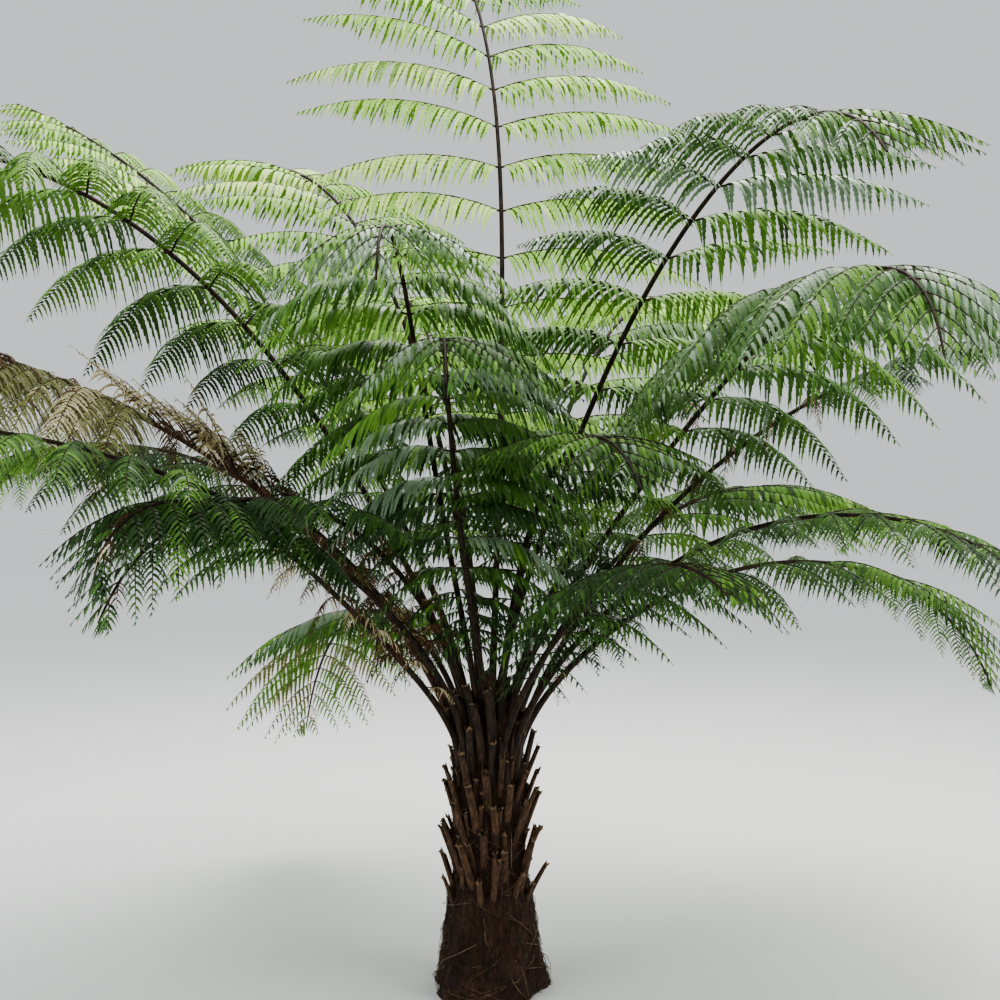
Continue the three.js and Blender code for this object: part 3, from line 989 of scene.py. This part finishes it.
@dataclass
class Trunk:
    """The leaning trunk: a fibrous mantle, stubs of old fronds in spirals, and loose fibres."""

    profile: tuple[Span, ...] = (
        (0.0, 0.168), (0.06, 0.15), (0.18, 0.137), (0.27, 0.122), (0.36, 0.104),
        (0.62, 0.106), (0.72, 0.098), (0.8, 0.078), (0.88, 0.05), (0.945, 0.018), (0.955, 0.0),
    )
    foot_height: float = 0.33
    foot_lobes: int = 5
    foot_swell: float = 0.1
    foot_turn: float = 0.9
    sides: int = 144
    rows: int = 210
    smooth_from: float = 0.95  # the height from which fibre no longer stands out
    smooth_fade: float = 0.2
    lumps: Point = (0.006, 2.2, 9.0)  # how far they stand out, and how fine they are across and along
    strands: Point = (0.0045, 11.0, 14.0)
    hairs: Point = (0.0018, 34.0, 30.0)

    def even_radius(self, height: float) -> float:
        """The trunk's radius at a height, without the lobes of its foot."""
        return float(np.interp(height, *zip(*self.profile)))

    def surface(self, height: float, turn: float) -> float:
        """The trunk's radius at a height and a heading, with the lobes of its foot and its matted fibre.

        Args:
            height: The height.
            turn: The heading, in radians.

        Returns:
            The radius.
        """
        near_foot = max(0.0, 1 - height / self.foot_height)
        swell = 1 + self.foot_swell * near_foot * math.sin(self.foot_lobes * turn + self.foot_turn)
        x, y = Vector((math.cos(turn), math.sin(turn)))
        lump, strand, hair = (Vector((x * across, y * across, height * along))
                              for _, across, along in (self.lumps, self.strands, self.hairs))
        relief = self.lumps[0] * noise.fractal(lump, 1.0, 2.0, 3)
        relief += self.strands[0] * noise.fractal(strand, 0.8, 2.0, 3)
        relief += self.hairs[0] * noise.noise(hair)
        rough = min(1.0, max(0.0, (self.smooth_from - height) / self.smooth_fade))
        return self.even_radius(height) * swell + relief * rough

    def mantle(self) -> Piece:
        """Makes the trunk's surface, wrapped from a flat grid and closed at its foot and tip.

        Returns:
            The piece.
        """
        shape = bmesh.new()
        bmesh.ops.create_grid(shape, x_segments=self.sides, y_segments=self.rows, size=0.5)
        low, high = min(v.co.x for v in shape.verts), max(v.co.x for v in shape.verts)
        top, round_trip, tolerance = self.profile[-1][0], 2 * math.pi, 1e-6
        for vertex in shape.verts:
            turn = round_trip * (vertex.co.x - low) / (high - low)
            height = top * (vertex.co.y - low) / (high - low)
            turn = 0.0 if turn > round_trip - tolerance else turn
            radius = 0.0 if height >= top - tolerance else max(0.0, self.surface(height, turn))
            centre = trunk_centre(height)
            vertex.co = (centre[0] + radius * math.cos(turn), centre[1] + radius * math.sin(turn), height)
        bmesh.ops.remove_doubles(shape, verts=shape.verts, dist=10 * tolerance)
        bmesh.ops.holes_fill(shape, edges=[edge for edge in shape.edges if edge.is_boundary], sides=0)
        bmesh.ops.recalc_face_normals(shape, faces=shape.faces)
        for face in shape.faces:
            face.smooth = len(face.verts) < 5
        return from_bmesh(shape, "trunk_mantle")

    def stubs(self) -> Piece:
        """Makes all the stubs, joined.

        Returns:
            The piece.
        """
        shape = bmesh.new()
        for spiral in STUB_SPIRALS:
            for index in range(spiral.count):
                spiral.stub(self, shape, index)
        bmesh.ops.recalc_face_normals(shape, faces=shape.faces)
        for face in shape.faces:
            face.smooth = True
        return from_bmesh(shape, "trunk_stubs")

    def build(self) -> None:
        """Builds and dresses the trunk's pieces, and puts them in the trunk solid's place."""
        mantle = self.mantle()
        mantle.data.materials.append(BARK.make())
        stubs = self.stubs()
        for finish in STUB_FINISHES:
            stubs.data.materials.append(finish.make())
        for piece in (mantle, stubs, *(fibres.build(self) for fibres in TRUNK_FIBRES)):
            set_in_place(piece, ["trunk"], "trunk")


@dataclass(frozen=True)
class StubSpiral:
    """A spiral of old stalk stubs of one sort: flattened bars that bow outward to a ragged broken end."""

    count: int
    lowest: float
    highest: float
    length: float
    half_width: float
    half_depth: float
    rise: float  # degrees above the level
    turn: float  # degrees by which the spiral is set off
    skin: Skin
    sunk: float = 0.024
    sides: int = 10
    cuts: int = 6
    least_length: float = 0.75
    length_play: float = 0.4
    rise_play: float = 8.0  # in degrees
    least_width: float = 0.75
    width_play: float = 0.5
    sway: float = 0.05
    bow: float = 0.014
    bow_inward: float = 0.3  # the share of the bow's play that is inward
    foot_width: float = 1.25
    narrowing: float = 0.45
    ragged: float = 0.02
    ragged_from: float = 0.9
    rim: float = 0.0022
    hollow: float = 0.004

    def stub(self, trunk: Trunk, shape: bmesh.types.BMesh, index: int) -> None:
        """Adds one stub.

        Args:
            trunk: The trunk that it stands on.
            shape: The mesh it is added to.
            index: Its number in the spiral.
        """
        key = index + 100 * self.turn
        turn = math.radians(self.turn + index * SPIRAL_STEP)
        height = self.lowest + (self.highest - self.lowest) * index / (self.count - 1)
        length = self.length * (self.least_length + self.length_play * scatter(key, 1))
        rise = math.radians(self.rise + self.rise_play * (scatter(key, 2) - 0.5))
        wide = self.half_width * (self.least_width + self.width_play * scatter(key, 5))
        bow = self.bow * (scatter(key, 6) - self.bow_inward)
        sway = self.sway * (scatter(key, 7) - 0.5)
        outward = Vector((math.cos(turn), math.sin(turn), 0))
        side = Vector((-math.sin(turn), math.cos(turn), 0))
        along = outward * math.cos(rise) + Vector((0, 0, math.sin(rise)))
        face = along.cross(side)
        foot = Vector(trunk_centre(height)) + outward * (trunk.even_radius(height) - self.sunk)
        before = len(shape.verts)
        made = bmesh.ops.create_cone(shape, cap_ends=True, segments=self.sides,
                                     radius1=1, radius2=1, depth=1)
        uprights = [edge for edge in {e for v in made["verts"] for e in v.link_edges}
                    if abs(edge.verts[0].co.z - edge.verts[1].co.z) > 0.5]
        bmesh.ops.subdivide_edges(shape, edges=uprights, cuts=self.cuts)
        verts = list(shape.verts)[before:]
        for vertex in verts:
            x, y, share = vertex.co.x, vertex.co.y, vertex.co.z + 0.5
            taper = self.foot_width - self.narrowing * share
            tear = noise.noise(Vector((x * 2 + key, y * 2, index))) * (share > self.ragged_from)
            point = foot + along * (share * length + self.ragged * tear)
            point += face * (x * self.half_depth * taper - bow * share**2)
            vertex.co = point + side * (y * wide * taper + sway * share**2)
        skins = {face for vertex in verts for face in vertex.link_faces}
        for skin in skins:
            skin.material_index = self.skin.value
        for end in (skin for skin in skins if len(skin.verts) > 4):
            if (end.calc_center_median() - foot).length > 0.5 * length:
                rim = bmesh.ops.inset_individual(shape, faces=[end], thickness=self.rim, depth=-self.hollow)
                for broken in [end, *rim["faces"]]:
                    broken.material_index = Skin.PITH.value


STUB_SPIRALS = (
    StubSpiral(46, 0.235, 0.56, 0.19, 0.0108, 0.0078, 71, 0, Skin.TAN),
    StubSpiral(64, 0.215, 0.6, 0.145, 0.0088, 0.0062, 75, 68, Skin.TAN),
    StubSpiral(34, 0.5, 0.69, 0.23, 0.0135, 0.0105, 83, 30, Skin.DARK),
)


@dataclass(frozen=True)
class Fibres:
    """Loose root fibres of one sort, which lie on the trunk and bow out from it."""

    name: str
    count: int
    highest: float
    lengths: Span
    slant: float
    stand: float
    radius: float
    dark: Colour
    light: Colour
    rings: int = 6
    sides: int = 3
    lowest: float = 0.01
    clear: float = 0.004  # above the ground
    slant_length: float = 0.12
    waver: float = 0.025
    least_stand: float = 0.1
    proud: float = 0.0008  # of the mantle, even where they lie on it
    taper: float = 0.7
    radius_play: Span = (0.6, 1.4)

    def build(self, trunk: Trunk) -> Piece:
        """Builds the fibres, joined.

        Args:
            trunk: The trunk that they lie on.

        Returns:
            The piece.
        """
        draw, count = np.random.default_rng(FIBRE_SEED), self.count
        height = draw.uniform(self.lowest, self.highest, count)
        turn = draw.uniform(0, 2 * math.pi, count)
        length = draw.uniform(*self.lengths, count)
        slant = draw.normal(0, self.slant, count)
        stand = draw.uniform(self.least_stand, 1.0, count) * self.stand
        share = np.linspace(0, 1, self.rings)
        z = np.clip(height[:, None] - length[:, None] * share, self.clear, None)
        angle = turn[:, None] + slant[:, None] * share * length[:, None] / self.slant_length
        angle = angle + draw.normal(0, self.waver, z.shape)
        radii = np.array([[trunk.surface(*place) for place in zip(*row)] for row in zip(z, angle)])
        radii = radii + stand[:, None] * np.sin(math.pi * share) + self.proud
        centre = trunk_centre(z)
        centre[..., 0] += radii * np.cos(angle)
        centre[..., 1] += radii * np.sin(angle)
        heading = unit(np.gradient(centre, axis=1))
        outward = np.stack((np.cos(angle), np.sin(angle), np.zeros_like(angle)), -1)
        beside = unit(np.cross(heading, outward))
        over = np.cross(beside, heading)
        play = draw.uniform(*self.radius_play, (count, 1))
        radius = (self.radius * (1 - self.taper * share))[None] * play
        shapes = ShapeArray()
        shapes.add_tubes(centre, over, beside, radius, self.sides)
        return shapes.make(self.name, [stalk_finish(self.name, self.dark, self.light).make()])


TRUNK_FIBRES = (
    Fibres("trunk_fibres", 3400, 0.78, (0.02, 0.065), 0.8, 0.008, 0.0009,
           (0.02, 0.01, 0.006), (0.11, 0.055, 0.032)),
    Fibres("trunk_threads", 90, 0.6, (0.06, 0.17), 2.4, 0.02, 0.0013,
           (0.1, 0.06, 0.035), (0.3, 0.21, 0.13)),
)


@dataclass(frozen=True)
class Lamp:
    """A soft square lamp."""

    name: str
    place: Point
    aim: Point
    size: float
    power: float  # in watts
    colour: Colour

    def build(self) -> None:
        """Hangs the lamp, facing its aim."""
        data = bpy.data.lights.new(self.name, "AREA")
        data.size, data.energy, data.color = self.size, self.power, self.colour
        lamp = add_object(self.name, data)
        lamp.location = self.place
        lamp.rotation_euler = (Vector(self.aim) - Vector(self.place)).to_track_quat("-Z", "Y").to_euler()


LAMPS = (
    Lamp("top_lamp", (0.6, 1.6, 6.5), (0, 0.2, 1.5), 4.5, 520, (1.0, 0.99, 0.95)),
    Lamp("left_lamp", (-4.5, -3.2, 4.2), (0, 0, 1.4), 3.5, 190, (0.94, 0.97, 1.0)),
    Lamp("right_lamp", (4.6, -2.2, 3.6), (0, 0, 1.4), 3.0, 140, (1.0, 0.98, 0.94)),
)


@dataclass
class Studio:
    """The camera at the photograph's viewing angle, a pale floor and soft lights."""

    eye: Point = (0.03, -4.0, 1.47)
    lens: float = 47.52
    sensor: float = 36.0
    nearest: float = 0.05
    farthest: float = 200.0
    floor_size: float = 60.0
    floor_segments: int = 8
    surroundings: Colour = (0.86, 0.89, 0.9)
    surrounding_light: float = 0.75

    def camera(self) -> None:
        """Sets a level camera that looks along +Y."""
        data = bpy.data.cameras.new("camera")
        data.lens = self.lens
        data.sensor_width = self.sensor
        data.sensor_fit = "HORIZONTAL"
        data.clip_start, data.clip_end = self.nearest, self.farthest
        camera = add_object("camera", data)
        camera.location = self.eye
        camera.rotation_euler = (math.radians(90), 0, 0)
        bpy.context.scene.camera = camera

    def floor(self) -> None:
        """Lays the floor at ground level."""
        shape, segments = bmesh.new(), self.floor_segments
        bmesh.ops.create_grid(shape, x_segments=segments, y_segments=segments, size=self.floor_size)
        floor = from_bmesh(shape, "floor")
        floor.data.materials.append(FloorFinish().make())

    def build(self) -> None:
        """Sets up the camera, floor, lamps and the pale surroundings."""
        self.camera()
        self.floor()
        for lamp in LAMPS:
            lamp.build()
        world = bpy.data.worlds.new("surroundings")
        world.use_nodes = True
        background = world.node_tree.nodes["Background"]
        background.inputs["Color"].default_value = (*self.surroundings, 1)
        background.inputs["Strength"].default_value = self.surrounding_light
        scene = bpy.context.scene
        scene.world = world
        scene.view_settings.view_transform = "AgX"
        scene.view_settings.look = "AgX - Medium High Contrast"


def write_sizes() -> None:
    """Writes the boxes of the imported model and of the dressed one."""
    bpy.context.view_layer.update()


def main() -> None:
    """Builds the studio, the trunk and every frond in order."""
    logging.basicConfig(level=logging.INFO, format="%(message)s")
    Studio().build()
    Trunk().build()
    finishes = [finish.make() for finish in LEAF_FINISHES]
    dark, red = STALK_DARK.make(), STALK_RED.make()
    for order, form in enumerate(FRONDS):
        Frond(form, order).build(finishes, red if form.browned else dark)
    write_sizes()


if __name__ == "__main__":
    main()
